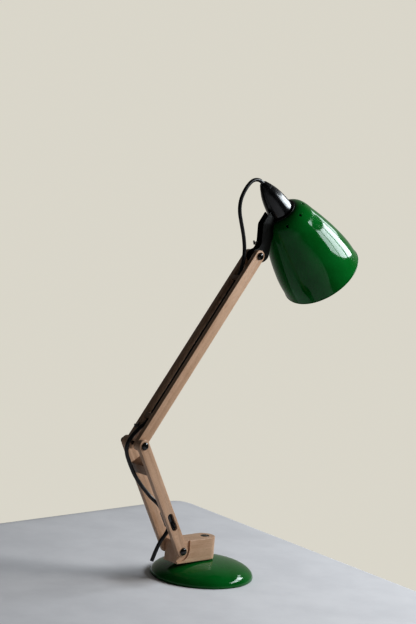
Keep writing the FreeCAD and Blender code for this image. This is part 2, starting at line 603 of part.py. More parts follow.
# ---------------------------------------------------------------- flex
def cordTube(label, points):
    # straight runs joined by tangent arcs, each as large as its two runs allow
    radii, edges, length, cursor = [], [], 0.0, points[0]
    for before, corner, after in zip(points, points[1:], points[2:]):
        inwards, outwards = before - corner, after - corner
        shorter = min(inwards.Length, outwards.Length)
        inwards.normalize()
        outwards.normalize()
        turn = math.pi - inwards.getAngle(outwards)
        radius = 0.45 * shorter / math.tan(turn / 2)
        radii.append(radius)
        start, end = corner + inwards * (0.45 * shorter), corner + outwards * (0.45 * shorter)
        middle = (inwards + outwards).normalize()
        centreGap = radius / math.cos(turn / 2)
        edges.append(Part.LineSegment(cursor, start).toShape())
        edges.append(Part.Arc(start, corner + middle * (centreGap - radius), end).toShape())
        length += (start - cursor).Length + radius * turn
        cursor = end
    edges.append(Part.LineSegment(cursor, points[-1]).toShape())
    length += (points[-1] - cursor).Length
    path = Part.Wire(edges)
    towards = (points[1] - points[0]).normalize()
    section = Part.Wire(Part.makeCircle(size("cordRadius"), points[0], towards))
    tube = path.makePipeShell([section], True, False)
    expected = math.pi * size("cordRadius") ** 2 * length
    print("%s length %.1f radii %s volume ratio %.4f"
          % (label, length, [round(r) for r in radii], tube.Volume / expected))
    keep(label, tube)


def makeCords():
    V = FreeCAD.Vector
    offset = size("cordOffset")
    lowEnd, highEnd = 46.0, 312.5
    inGrip = mouth + shadeUp * (size("gripTop") - 5)
    cordTube("cord_head", [
        inGrip, inGrip + shadeUp * 9, V(53.1, 0, 637.4), V(43.2, 0, 636.0), V(34.6, 0, 629.8), V(25.6, 0, 618.0),
        V(18.7, 0, 602.5), V(18.4, 0, 585.0), V(24.4, 0, 567.5), V(31.8, 0, 547.0), V(36.2, 0, 527.5),
        V(36.4, 0, 509.5), onUpper(332.0, 8.4, 0), onUpper(322.0, offset, 0), onUpper(highEnd, offset, 0)])
    cordTube("cord_upper", [onUpper(highEnd, offset, 0), onUpper(lowEnd, offset, 0)])
    above, below = onLower(172.0, 16.3, 9.2), onLower(146.0, 15.0, 9.8)
    middle = (above + below) * 0.5
    cordTube("cord_elbow", [
        onUpper(lowEnd, offset, 0), onUpper(37.0, offset, 0), V(-151.0, 1.6, 246.0), V(-163.3, 2.4, 235.0),
        V(-169.9, 3.6, 223.6), V(-168.3, 6.8, 209.9), above, middle])
    inlet = size("switchHigh")
    cordTube("cord_lower", [
        middle, below, onLower(128.0, 11.9, 8.3), onLower(110.0, 8.2, 4.7), onLower(98.5, 5.8, 0.2),
        onLower(89.0, 2.9, -5.9), onLower(inlet + 6.5, 1.8, -8.4), onLower(inlet, 1.8, -8.4)])
    # the cut tail leaves at right angles to the slanting corner
    outlet = onLower(size("switchLow") + size("switchCorner") / 2, size("switchHalf") - size("switchCorner") / 2, -10.0)
    slanting = (lowerRear - lowerAlong).normalize()
    cordTube("cord_tail", [
        outlet, outlet + slanting * 5, V(-91.6, -9.0, 75.6), V(-96.8, -7.0, 68.4), V(-100.7, -4.5, 57.6),
        V(-103.6, -2.0, 46.4), V(-106.5, 0, 34.9)])


# ---------------------------------------------------------------- build, check and write
makeBase()
makeBlock()
makeArms()
makeClamps()
rockerPivot = makeSwitch()
makeShade()
makeBracket()
makeLampholder()
makeCords()
doc.recompute()

faults = [item.Name for item in doc.Objects if {"Invalid", "Error"} & set(item.State)]
for item in subParts:
    if item.Shape.isNull() or not item.Shape.isValid() or item.Shape.Volume <= 0:
        faults.append(item.Label + " shape")
if faults:
    raise RuntimeError("not built: " + ", ".join(faults))

print("base pivot", basePivot, "elbow", elbow, "head pivot", headPivot, "rocker", rockerPivot)
os.makedirs("parts", exist_ok=True)
for item in subParts:
    item.Shape.exportStep("parts/%s.step" % item.Label)
    print("%-22s %9.0f mm3  solids %d" % (item.Label, item.Shape.Volume, len(item.Shape.Solids)))
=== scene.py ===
import math

import bmesh
import bpy
from mathutils import Matrix, Vector


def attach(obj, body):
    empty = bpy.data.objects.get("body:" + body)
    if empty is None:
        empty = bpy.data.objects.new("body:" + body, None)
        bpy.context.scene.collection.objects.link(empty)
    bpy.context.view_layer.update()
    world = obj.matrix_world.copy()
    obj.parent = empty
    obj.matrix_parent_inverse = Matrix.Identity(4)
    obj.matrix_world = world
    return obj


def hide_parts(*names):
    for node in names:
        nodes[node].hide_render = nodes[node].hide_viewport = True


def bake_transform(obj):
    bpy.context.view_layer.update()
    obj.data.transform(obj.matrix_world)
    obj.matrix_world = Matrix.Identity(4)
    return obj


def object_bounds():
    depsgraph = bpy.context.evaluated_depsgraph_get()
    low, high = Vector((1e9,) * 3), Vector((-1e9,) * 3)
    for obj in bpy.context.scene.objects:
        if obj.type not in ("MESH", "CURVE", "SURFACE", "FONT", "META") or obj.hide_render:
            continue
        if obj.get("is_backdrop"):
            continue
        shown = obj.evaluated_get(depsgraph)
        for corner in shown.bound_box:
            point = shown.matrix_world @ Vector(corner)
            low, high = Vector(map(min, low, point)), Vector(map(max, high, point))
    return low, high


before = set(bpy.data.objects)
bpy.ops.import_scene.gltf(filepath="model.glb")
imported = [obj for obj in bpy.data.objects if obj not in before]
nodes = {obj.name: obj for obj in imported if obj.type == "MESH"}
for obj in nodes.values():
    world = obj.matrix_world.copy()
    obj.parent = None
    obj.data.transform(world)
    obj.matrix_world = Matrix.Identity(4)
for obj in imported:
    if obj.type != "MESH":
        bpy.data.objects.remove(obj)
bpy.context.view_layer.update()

mm = 0.001

# where the lamp's pivots are and how its arms lean, degrees from +X towards +Z
lamp = {
    "basePivot": Vector((-63.0, 0, 50.5)) * mm,
    "lowerLean": 118.5, "lowerLength": 197.0 * mm,
    "upperLean": 53.7, "upperLength": 363.0 * mm,
    "mouth": Vector((215.2, 0, 488.5)) * mm, "shadePitch": 43.6,
    "lowerInner": 14.8 * mm, "upperInner": 6.5 * mm, "stripThickness": 8.0 * mm, "stripWidth": 19.0 * mm,
}


def leaning(degrees):
    return Vector((math.cos(math.radians(degrees)), 0, math.sin(math.radians(degrees))))


def armPlace(origin, degrees):
    # local X runs along the arm, local Y to its rear and local Z to the near side
    along, rear = leaning(degrees), leaning(degrees + 90)
    return Matrix.Translation(origin) @ Matrix((along, rear, Vector((0, -1, 0)))).transposed().to_4x4()


elbow = lamp["basePivot"] + leaning(lamp["lowerLean"]) * lamp["lowerLength"]
headPivot = elbow + leaning(lamp["upperLean"]) * lamp["upperLength"]
lowerArm = armPlace(lamp["basePivot"], lamp["lowerLean"])
upperArm = armPlace(elbow, lamp["upperLean"])
headUp = leaning(180 - lamp["shadePitch"])
headSide = leaning(90 - lamp["shadePitch"])
headAxes = Matrix((headSide, Vector((0, 1, 0)), headUp)).transposed().to_4x4()
headPlace = Matrix.Translation(lamp["mouth"]) @ headAxes
worldPlace = Matrix.Identity(4)


def onArm(place, along, rear, y):
    return place @ (Vector((along, rear, -y)) * mm)


# camera
camera = {
    "place": Vector((-1562.39, -1712.95, 632.84)) * mm,
    "right": Vector((0.7479, -0.6590, 0.0798)), "up": Vector((0.0, 0.1203, 0.9927)),
    "back": Vector((-0.6639, -0.7424, 0.0900)), "lens": 84.98,
}
cameraData = bpy.data.cameras.new("camera")
cameraObject = bpy.data.objects.new("camera", cameraData)
bpy.context.scene.collection.objects.link(cameraObject)
turn = Matrix((camera["right"], camera["up"], camera["back"])).transposed()
cameraObject.matrix_world = Matrix.Translation(camera["place"]) @ turn.to_quaternion().to_matrix().to_4x4()
cameraData.lens = camera["lens"]
cameraData.sensor_width = 36
cameraData.clip_start, cameraData.clip_end = 0.05, 50
bpy.context.scene.camera = cameraObject


# making and keeping pieces
def softened(mesh, angle=32):
    for polygon in mesh.polygons:
        polygon.use_smooth = True
    mesh.set_sharp_from_angle(angle=math.radians(angle))
    return mesh


def addPiece(name, mesh, materials, body, replaced=(), angle=32):
    softened(mesh, angle)
    for material in materials:
        mesh.materials.append(material)
    piece = bpy.data.objects.new(name, mesh)
    bpy.context.scene.collection.objects.link(piece)
    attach(piece, body)
    if replaced:
        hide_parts(*replaced)
    return piece


def fromBmesh(name, shape, place=worldPlace):
    bmesh.ops.recalc_face_normals(shape, faces=shape.faces[:])
    mesh = bpy.data.meshes.new(name)
    shape.to_mesh(mesh)
    shape.free()
    mesh.transform(place)
    return mesh


def joined(name, meshes):
    # puts several meshes into one, keeping each face's material number
    shape = bmesh.new()
    for mesh in meshes:
        shape.from_mesh(mesh)
        bpy.data.meshes.remove(mesh)
    mesh = bpy.data.meshes.new(name)
    shape.to_mesh(mesh)
    shape.free()
    return mesh


def evaluatedMesh(holder):
    return bpy.data.meshes.new_from_object(holder.evaluated_get(bpy.context.evaluated_depsgraph_get()))


def circleLoop(x, y, radius, steps=40):
    return [(x + radius * math.cos(2 * math.pi * i / steps), y - radius * math.sin(2 * math.pi * i / steps))
            for i in range(steps)]


def barLoop(low, high, radius, steps=20):
    # a round-ended bar along the first axis
    loop = []
    for centre, start in ((high, -90), (low, 90)):
        for i in range(steps + 1):
            angle = math.radians(start + 180 * i / steps)
            loop.append((centre + radius * math.cos(angle), radius * math.sin(angle)))
    return loop


def roundedLoop(corners, radius, steps=6):
    # swaps each corner of an outline for a small arc; a corner may carry its own radius
    loop = []
    count = len(corners)
    for i, corner in enumerate(corners):
        here = Vector(corner[:2])
        own = corner[2] if len(corner) > 2 else radius
        before = (Vector(corners[i - 1][:2]) - here)
        after = (Vector(corners[(i + 1) % count][:2]) - here)
        reach = min(own, before.length * 0.45, after.length * 0.45)
        start, end = here + before.normalized() * reach, here + after.normalized() * reach
        for k in range(steps + 1):
            t = k / steps
            loop.append(tuple(start * (1 - t) ** 2 + here * 2 * t * (1 - t) + end * t ** 2))
    return loop


def plate(name, loops, thickness, edge, place, middle=0.0):
    # a flat piece with softly rounded edges; the first loop is its outline and the others are holes
    curve = bpy.data.curves.new(name, "CURVE")
    curve.dimensions = "2D"
    curve.fill_mode = "BOTH"
    curve.extrude = thickness / 2 - edge
    curve.bevel_depth = edge
    curve.bevel_resolution = 2
    curve.offset = -edge
    for loop in loops:
        spline = curve.splines.new("POLY")
        spline.points.add(len(loop) - 1)
        for point, (x, y) in zip(spline.points, loop):
            point.co = (x, y, 0, 1)
        spline.use_cyclic_u = True
    holder = bpy.data.objects.new(name, curve)
    bpy.context.scene.collection.objects.link(holder)
    mesh = evaluatedMesh(holder)
    bpy.data.objects.remove(holder)
    bpy.data.curves.remove(curve)
    mesh.transform(place @ Matrix.Translation((0, 0, middle)))
    shape = bmesh.new()
    shape.from_mesh(mesh)
    bmesh.ops.remove_doubles(shape, verts=shape.verts[:], dist=1e-6)
    bmesh.ops.recalc_face_normals(shape, faces=shape.faces[:])
    shape.to_mesh(mesh)
    shape.free()
    return mesh


def brick(name, low, high, edge, place):
    # a box between two corners with rounded edges
    shape = bmesh.new()
    bmesh.ops.create_cube(shape, size=1)
    for vert in shape.verts:
        vert.co = Vector([high[i] if vert.co[i] > 0 else low[i] for i in range(3)])
    bmesh.ops.bevel(shape, geom=shape.edges[:], offset=edge, segments=3, profile=0.5, affect="EDGES")
    return fromBmesh(name, shape, place)


def smoothRows(rows, steps=6):
    # a soft curve through rows of (radius, height), for a turned shape
    points = [Vector(row) for row in rows]
    full = [points[0] * 2 - points[1]] + points + [points[-1] * 2 - points[-2]]
    soft = []
    for a, b, c, d in zip(full, full[1:], full[2:], full[3:]):
        for k in range(steps):
            t = k / steps
            soft.append(0.5 * (2 * b + (c - a) * t + (2 * a - 5 * b + 4 * c - d) * t * t
                               + (3 * b - a - 3 * c + d) * t ** 3))
    return [tuple(p) for p in soft] + [tuple(points[-1])]


def inset(rows, depth):
    moved = []
    for i, (r, z) in enumerate(rows):
        (r0, z0), (r1, z1) = rows[max(i - 1, 0)], rows[min(i + 1, len(rows) - 1)]
        length = math.hypot(r1 - r0, z1 - z0)
        moved.append((r - depth * (z1 - z0) / length, z + depth * (r1 - r0) / length))
    return moved


def lathe(name, rows, place, segments=96, closed=False, paint=None):
    # turns rows of (radius, height) in millimetres about local Z; paint gives a material number for each row
    shape = bmesh.new()
    rings = []
    for r, z in rows:
        if r < 1e-4:
            rings.append([shape.verts.new((0, 0, z * mm))])
        else:
            rings.append([shape.verts.new((r * mm * math.cos(2 * math.pi * i / segments),
                                           r * mm * math.sin(2 * math.pi * i / segments), z * mm))
                          for i in range(segments)])
    pairs = list(zip(rings, rings[1:])) + ([(rings[-1], rings[0])] if closed else [])
    for number, (one, two) in enumerate(pairs):
        for i in range(segments):
            j = (i + 1) % segments
            corners = [one[i % len(one)], one[j % len(one)], two[j % len(two)], two[i % len(two)]]
            unique = list(dict.fromkeys(corners))
            if len(unique) > 2:
                shape.faces.new(unique).material_index = paint(number) if paint else 0
    return fromBmesh(name, shape, place)


# shading helpers
def nodeGroup(name, inputs, outputs):
    group = bpy.data.node_groups.new(name, "ShaderNodeTree")
    for title, kind, value in inputs:
        socket = group.interface.new_socket(name=title, in_out="INPUT", socket_type="NodeSocket" + kind)
        if value is not None:
            socket.default_value = value
    for title, kind in outputs:
        group.interface.new_socket(name=title, in_out="OUTPUT", socket_type="NodeSocket" + kind)
    return group, group.nodes.new("NodeGroupInput"), group.nodes.new("NodeGroupOutput")


def addNode(tree, kind, settings=None, **inputs):
    node = tree.nodes.new("ShaderNode" + kind)
    for key, value in (settings or {}).items():
        setattr(node, key, value)
    for key, value in inputs.items():
        # i3 is the fourth input, anything else is an input's name
        numbered = key[0] == "i" and key[1:].isdigit()
        socket = node.inputs[int(key[1:]) if numbered else key.replace("_", " ")]
        if isinstance(value, bpy.types.NodeSocket):
            tree.links.new(value, socket)
        else:
            socket.default_value = value
    return node


def stretched(tree, vector, scale):
    return addNode(tree, "VectorMath", {"operation": "MULTIPLY"}, i0=vector, i1=scale).outputs[0]


def noiseOf(tree, vector, scale, detail=3.0, roughness=0.5):
    inputs = {"Vector": vector, "Scale": scale, "Detail": detail, "Roughness": roughness}
    return addNode(tree, "TexNoise", None, **inputs).outputs[0]


def ranged(tree, value, low, high, outLow=0.0, outHigh=1.0):
    node = addNode(tree, "MapRange", {"interpolation_type": "SMOOTHSTEP"}, Value=value)
    for key, number in zip(("From Min", "From Max", "To Min", "To Max"), (low, high, outLow, outHigh)):
        node.inputs[key].default_value = number
    return node.outputs[0]


def maths(tree, operation, one, two):
    return addNode(tree, "Math", {"operation": operation}, i0=one, i1=two).outputs[0]


def mixedColor(tree, factor, one, two, blend="MIX"):
    node = addNode(tree, "Mix", {"data_type": "RGBA", "blend_type": blend}, i0=factor, i6=one, i7=two)
    return node.outputs[2]


surface = [("Color", "Color"), ("Roughness", "Float"), ("Height", "Float")]  # what each finish gives a shader


def buildGrain():
    # close beech grain: long soft bands, fine streaks and short dark flecks, all running along X
    group, start, end = nodeGroup("beechGrain", [
        ("Vector", "Vector", None), ("Pale", "Color", (0.5, 0.3, 0.2, 1)),
        ("Deep", "Color", (0.3, 0.15, 0.1, 1)), ("Fleck", "Float", 0.5)], surface)
    vector = start.outputs["Vector"]
    bands = noiseOf(group, stretched(group, vector, (7, 110, 110)), 1.0, 3.0, 0.55)
    streaks = noiseOf(group, stretched(group, vector, (38, 1100, 1100)), 1.0, 4.0, 0.6)
    clouds = noiseOf(group, vector, 26.0, 2.0, 0.5)
    flecks = noiseOf(group, stretched(group, vector, (300, 2100, 2100)), 1.0, 2.0, 0.5)
    fleckMask = maths(group, "MULTIPLY", ranged(group, flecks, 0.56, 0.70), start.outputs["Fleck"])
    depth = maths(group, "ADD", maths(group, "MULTIPLY", ranged(group, bands, 0.3, 0.7), 0.42),
                  maths(group, "MULTIPLY", ranged(group, streaks, 0.3, 0.75), 0.38))
    depth = maths(group, "ADD", depth, maths(group, "MULTIPLY", ranged(group, clouds, 0.35, 0.7), 0.2))
    base = mixedColor(group, depth, start.outputs["Pale"], start.outputs["Deep"])
    dark = mixedColor(group, 1.0, start.outputs["Deep"], (0.62, 0.55, 0.5, 1), "MULTIPLY")
    color = mixedColor(group, fleckMask, base, dark)
    group.links.new(color, end.inputs["Color"])
    group.links.new(ranged(group, streaks, 0.2, 0.8, 0.34, 0.52), end.inputs["Roughness"])
    group.links.new(maths(group, "SUBTRACT", streaks, fleckMask), end.inputs["Height"])
    return group


def buildPeel():
    # fired enamel: faint clouds of colour, an orange-peel skin and a little settled dust
    group, start, end = nodeGroup("enamelPeel", [
        ("Vector", "Vector", None), ("Tint", "Color", (0, 0.1, 0.03, 1)),
        ("Shade", "Color", (0, 0.05, 0.02, 1)), ("Dust", "Float", 0.3)], surface)
    vector = start.outputs["Vector"]
    clouds = noiseOf(group, vector, 22.0, 3.0, 0.55)
    peel = noiseOf(group, vector, 520.0, 2.0, 0.5)
    smears = noiseOf(group, stretched(group, vector, (60, 60, 190)), 1.0, 4.0, 0.6)
    cells = addNode(group, "TexVoronoi", None, Vector=vector, Scale=420.0)
    size = addNode(group, "SeparateColor", None, Color=cells.outputs["Color"]).outputs[0]
    speck = maths(group, "LESS_THAN", cells.outputs["Distance"], maths(group, "MULTIPLY", size, 0.12))
    rare = maths(group, "MULTIPLY", speck, ranged(group, noiseOf(group, vector, 90.0), 0.52, 0.66))
    dusty = maths(group, "MULTIPLY", rare, start.outputs["Dust"])
    base = mixedColor(group, ranged(group, clouds, 0.3, 0.7), start.outputs["Tint"], start.outputs["Shade"])
    group.links.new(mixedColor(group, dusty, base, (0.45, 0.47, 0.42, 1)), end.inputs["Color"])
    rough = ranged(group, smears, 0.35, 0.75, 0.05, 0.12)
    group.links.new(maths(group, "ADD", rough, maths(group, "MULTIPLY", dusty, 0.4)), end.inputs["Roughness"])
    group.links.new(peel, end.inputs["Height"])
    return group


def buildWorn():
    # black finishes: handling marks, fine scratches and dust in one mask
    group, start, end = nodeGroup("handledBlack", [
        ("Vector", "Vector", None), ("Tint", "Color", (0.01, 0.01, 0.01, 1)),
        ("Worn", "Color", (0.06, 0.06, 0.06, 1)), ("Low Roughness", "Float", 0.2),
        ("High Roughness", "Float", 0.4), ("Grain", "Float", 900.0)], surface)
    vector = start.outputs["Vector"]
    marks = noiseOf(group, vector, 70.0, 5.0, 0.65)
    grain = addNode(group, "TexNoise", None, Vector=vector, Scale=start.outputs["Grain"], Detail=2.0).outputs[0]
    scratches = noiseOf(group, stretched(group, vector, (90, 1500, 240)), 1.0, 2.0, 0.5)
    mask = maths(group, "MULTIPLY", ranged(group, scratches, 0.63, 0.72), ranged(group, marks, 0.45, 0.7))
    worn = maths(group, "ADD", maths(group, "MULTIPLY", mask, 0.5),
                 maths(group, "MULTIPLY", ranged(group, marks, 0.5, 0.8), 0.25))
    group.links.new(mixedColor(group, worn, start.outputs["Tint"], start.outputs["Worn"]), end.inputs["Color"])
    spread = addNode(group, "MapRange", None, Value=marks)
    spread.inputs["From Min"].default_value = 0.3
    spread.inputs["From Max"].default_value = 0.75
    group.links.new(start.outputs["Low Roughness"], spread.inputs["To Min"])
    group.links.new(start.outputs["High Roughness"], spread.inputs["To Max"])
    group.links.new(spread.outputs[0], end.inputs["Roughness"])
    group.links.new(maths(group, "SUBTRACT", grain, maths(group, "MULTIPLY", mask, 0.6)), end.inputs["Height"])
    return group


grainGroup, peelGroup, wornGroup = buildGrain(), buildPeel(), buildWorn()


def newMaterial(name, group, values, bump, shaderValues, turnY=0.0):
    # one Principled shader fed with colour, roughness and height by a group in the piece's own space
    material = bpy.data.materials.new(name)
    material.use_nodes = True
    tree = material.node_tree
    shader = tree.nodes["Principled BSDF"]
    place = addNode(tree, "TexCoord").outputs["Object"]
    if turnY:
        place = addNode(tree, "Mapping", None, Vector=place, Rotation=(0, math.radians(turnY), 0)).outputs[0]
    finish = tree.nodes.new("ShaderNodeGroup")
    finish.node_tree = group
    tree.links.new(place, finish.inputs["Vector"])
    for key, value in values.items():
        finish.inputs[key].default_value = value
    tree.links.new(finish.outputs["Color"], shader.inputs["Base Color"])
    tree.links.new(finish.outputs["Roughness"], shader.inputs["Roughness"])
    relief = addNode(tree, "Bump", None, Height=finish.outputs["Height"], Strength=bump[0], Distance=bump[1])
    tree.links.new(relief.outputs[0], shader.inputs["Normal"])
    for key, value in shaderValues.items():
        shader.inputs[key].default_value = value
    return material


wood = {
    "pale": (0.62, 0.425, 0.30, 1), "deep": (0.40, 0.235, 0.14, 1),
    # the spacers' two darker tones are painted shade, standing for the shadow in the gap between the strips
    # rather than a different wood
    "shadedPale": (0.34, 0.215, 0.14, 1), "shadedDeep": (0.18, 0.10, 0.06, 1), "fleck": 0.55,
}


def woodMaterial(name, pale, deep, degrees):
    return newMaterial(name, grainGroup, {"Pale": pale, "Deep": deep, "Fleck": wood["fleck"]}, (0.25, 0.0004),
                       {"Coat Weight": 0.12, "Coat Roughness": 0.3, "Specular IOR Level": 0.45}, degrees)


lowerWood = woodMaterial("beechLowerStrips", wood["pale"], wood["deep"], lamp["lowerLean"])
upperWood = woodMaterial("beechUpperStrips", wood["pale"], wood["deep"], lamp["upperLean"])
blockWood = woodMaterial("beechBlock", wood["pale"], wood["deep"], 0.0)
# the spacers take the darker tones: painted shade for their place between the strips
spacerWood = woodMaterial("beechSpacers", wood["shadedPale"], wood["shadedDeep"], 0.0)

enamel = {"tint": (0.003, 0.125, 0.020, 1), "shade": (0.002, 0.098, 0.013, 1), "dust": 0.4}
greenEnamel = newMaterial("greenEnamel", peelGroup, {
    "Tint": enamel["tint"], "Shade": enamel["shade"], "Dust": enamel["dust"]}, (0.015, 0.0003),
    {"Specular IOR Level": 0.3})
whiteEnamel = newMaterial("whiteEnamelLining", peelGroup, {
    "Tint": (0.78, 0.77, 0.72, 1), "Shade": (0.70, 0.69, 0.64, 1), "Dust": 0.2}, (0.05, 0.0003),
    {"Coat Weight": 0.2, "Coat Roughness": 0.15})

black = {"paint": (0.004, 0.004, 0.003, 1), "worn": (0.025, 0.024, 0.022, 1),
         "moulded": (0.004, 0.004, 0.005, 1)}


def blackMaterial(name, tint, worn, low, high, grain, bump, **extra):
    values = {"Tint": tint, "Worn": worn, "Low Roughness": low, "High Roughness": high, "Grain": grain}
    return newMaterial(name, wornGroup, values, bump, extra)


blackSteel = blackMaterial("blackPaintedSteel", black["paint"], black["worn"], 0.30, 0.5, 1400.0,
                           (0.12, 0.0003),
                           **{"Specular IOR Level": 0.2})
blackBolts = blackMaterial("blackLacqueredBolts", black["paint"], black["worn"], 0.16, 0.34, 1100.0,
                           (0.06, 0.0002),
                           **{"Coat Weight": 0.3})
blackMoulded = blackMaterial("blackMouldedResin", black["moulded"], (0.03, 0.03, 0.033, 1), 0.14, 0.3, 800.0,
                             (0.04, 0.0002), **{"Coat Weight": 0.25, "Coat Roughness": 0.12})
flexSkin = blackMaterial("blackFlexSheath", (0.010, 0.010, 0.011, 1), (0.035, 0.034, 0.033, 1), 0.32, 0.5,
                         700.0, (0.12, 0.0003))
rubberPad = blackMaterial("blackRubberPad", (0.018, 0.018, 0.018, 1), (0.06, 0.058, 0.055, 1), 0.6, 0.85, 600.0,
                          (0.5, 0.0005))
castIron = blackMaterial("castIronWeight", (0.05, 0.05, 0.05, 1), (0.12, 0.10, 0.085, 1), 0.5, 0.75, 450.0,
                         (0.7, 0.0008), Metallic=0.8)
plainSteel = blackMaterial("zincSteel", (0.50, 0.50, 0.49, 1), (0.33, 0.32, 0.30, 1), 0.28, 0.45, 1500.0,
                           (0.1, 0.0002), Metallic=1.0)
brass = blackMaterial("brassContacts", (0.62, 0.42, 0.15, 1), (0.35, 0.23, 0.1, 1), 0.25, 0.42, 1500.0,
                      (0.1, 0.0002), Metallic=1.0)
aluminium = blackMaterial("bulbCapMetal", (0.62, 0.61, 0.59, 1), (0.42, 0.41, 0.39, 1), 0.28, 0.42, 1500.0,
                          (0.15, 0.0002), Metallic=1.0)
ceramic = blackMaterial("whiteCeramic", (0.72, 0.70, 0.64, 1), (0.6, 0.57, 0.5, 1), 0.3, 0.5, 500.0,
                        (0.1, 0.0003))
frosted = blackMaterial("frostedGlass", (0.86, 0.86, 0.83, 1), (0.78, 0.78, 0.75, 1), 0.32, 0.45, 500.0,
                        (0.05, 0.0002), **{"Transmission Weight": 0.35, "IOR": 1.45})
print("finishes made")

# flex
flex = {"radius": 3.0 * mm, "offset": 3.5}


def spot(x, y, z):
    return Vector((x, y, z)) * mm


inGrip = lamp["mouth"] + headUp * (203.0 * mm)
spacerLow, spacerHigh = onArm(upperArm, 46.0, flex["offset"], 0), onArm(upperArm, 312.5, flex["offset"], 0)
aboveSpacer, belowSpacer = onArm(lowerArm, 172.0, 16.3, 9.2), onArm(lowerArm, 146.0, 15.0, 9.8)
besideSpacer = (aboveSpacer + belowSpacer) / 2
# the tail leaves at right angles to the slanting corner of the switch
switchFoot = onArm(lowerArm, 44.0, 2.2, -10.0)
belowSwitch = onArm(lowerArm, 44.0 - 5 * math.sqrt(0.5), 2.2 + 5 * math.sqrt(0.5), -10.0)
routes = {
    "flexHead": [
        inGrip, inGrip + headUp * (9 * mm), spot(53.1, 0, 637.4), spot(43.2, 0, 636.0), spot(34.6, 0, 629.8),
        spot(25.6, 0, 618.0), spot(18.7, 0, 602.5), spot(18.4, 0, 585.0), spot(24.4, 0, 567.5),
        spot(31.8, 0, 547.0), spot(36.2, 0, 527.5), spot(36.4, 0, 509.5), onArm(upperArm, 332.0, 8.4, 0),
        onArm(upperArm, 322.0, flex["offset"], 0), spacerHigh],
    "flexUpper": [spacerHigh, onArm(upperArm, 179.0, flex["offset"], 0), spacerLow],
    "flexElbow": [
        spacerLow, onArm(upperArm, 37.0, flex["offset"], 0), spot(-151.0, 1.6, 246.0), spot(-163.3, 2.4, 235.0),
        spot(-169.9, 3.6, 223.6), spot(-168.3, 6.8, 209.9), aboveSpacer, besideSpacer, belowSpacer,
        onArm(lowerArm, 128.0, 11.9, 8.3), onArm(lowerArm, 110.0, 8.2, 4.7), onArm(lowerArm, 98.5, 5.8, 0.2),
        onArm(lowerArm, 89.0, 2.9, -5.9), onArm(lowerArm, 79.5, 1.8, -8.4), onArm(lowerArm, 73.0, 1.8, -8.4)],
    "flexTail": [
        switchFoot, belowSwitch, spot(-91.6, -9.0, 75.6), spot(-96.8, -7.0, 68.4), spot(-100.7, -4.5, 57.6),
        spot(-103.6, -2.0, 46.4), spot(-106.5, 0, 34.9)],
}


def routeCurve(name, points, radius):
    curve = bpy.data.curves.new(name, "CURVE")
    curve.dimensions = "3D"
    curve.bevel_depth = radius
    curve.bevel_resolution = 8
    curve.resolution_u = 14
    curve.use_fill_caps = True
    spline = curve.splines.new("NURBS")
    spline.points.add(len(points) - 1)
    for point, place in zip(spline.points, points):
        point.co = (*place, 1)
    spline.order_u = 3
    spline.use_endpoint_u = True
    return curve


def layFlex(name, replaced, ridesOn=None, bends=None):
    curve = routeCurve(name, routes[name], flex["radius"])
    curve.materials.append(flexSkin)
    piece = bpy.data.objects.new(name, curve)
    bpy.context.scene.collection.objects.link(piece)
    path = None
    if bends:
        # a stretch that bends at a pivot is a mesh along the same line
        line = bpy.data.objects.new(name + "Line", routeCurve(name + "Line", routes[name], 0))
        bpy.context.scene.collection.objects.link(line)
        path = [tuple(vert.co) for vert in evaluatedMesh(line).vertices]
        bpy.data.objects.remove(line)
        mesh = evaluatedMesh(piece)
        bpy.data.objects.remove(piece)
        shape = bmesh.new()
        shape.from_mesh(mesh)
        bmesh.ops.remove_doubles(shape, verts=shape.verts[:], dist=1e-6)
        shape.to_mesh(mesh)
        shape.free()
        softened(mesh, 50)
        piece = bpy.data.objects.new(name, mesh)
        bpy.context.scene.collection.objects.link(piece)
        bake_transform(piece)
    else:
        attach(piece, ridesOn)
    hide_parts(*replaced)


layFlex("flexHead", ["cord_head"],
        bends=("head", "upper_arm", spot(45, 0, 634), spot(33, 0, 500)))
layFlex("flexUpper", ["cord_upper"], ridesOn="upper_arm")
layFlex("flexElbow", ["cord_elbow", "cord_lower"],
        bends=("upper_arm", "lower_arm", spot(-146, 0, 250), spot(-160, 0, 200)))
layFlex("flexTail", ["cord_tail"], ridesOn="lower_arm")
print("flex laid")

# base
base = {"radius": 82.5, "top": 27.5, "rim": 3.0, "foot": 0.8, "sheet": 1.2, "fullness": 2.6, "bore": 4.1}


def domeRows(radius, top, steps=40):
    rows = []
    for i in range(steps + 1):
        r = base["bore"] + (radius - base["bore"]) * math.sin(math.pi / 2 * i / steps)
        height = (top - base["rim"]) * math.sqrt(max(0.0, 1 - (r / radius) ** base["fullness"]))
        rows.append((r, base["rim"] + height))
    return rows


outer = domeRows(base["radius"], base["top"])
inner = domeRows(base["radius"] - base["sheet"], base["top"] - base["sheet"])
foot = [(base["radius"], base["foot"] + 0.5), (base["radius"] - 0.2, base["foot"] + 0.1),
        (base["radius"] - 0.6, base["foot"]), (base["radius"] - 1.0, base["foot"] + 0.1),
        (base["radius"] - base["sheet"], base["foot"] + 0.5)]
addPiece("baseDome", lathe("baseDome", outer + foot + inner[::-1], worldPlace, 192, closed=True),
         [greenEnamel], "base", ["base_dome"], 50)

bolt = {"seat": 62.6, "headRadius": 6.7, "headHeight": 2.8, "shank": 4.0, "foot": 3.0}
head = [(0, bolt["seat"] + bolt["headHeight"])]
for i in range(1, 15):
    angle = math.radians(90 * i / 14)
    head.append((bolt["headRadius"] * math.sin(angle) ** 0.9,
                 bolt["seat"] + 0.7 + (bolt["headHeight"] - 0.7) * math.cos(angle)))
shank = [(bolt["headRadius"], bolt["seat"] + 0.2), (bolt["headRadius"] - 0.3, bolt["seat"]),
         (bolt["shank"], bolt["seat"]), (bolt["shank"], bolt["foot"] + 0.6),
         (bolt["shank"] - 0.6, bolt["foot"]), (0, bolt["foot"])]
addPiece("swivelBolt", lathe("swivelBolt", head + shank, worldPlace, 64), [blackBolts], "base",
         ["swivel_bolt"], 40)
print("base made")

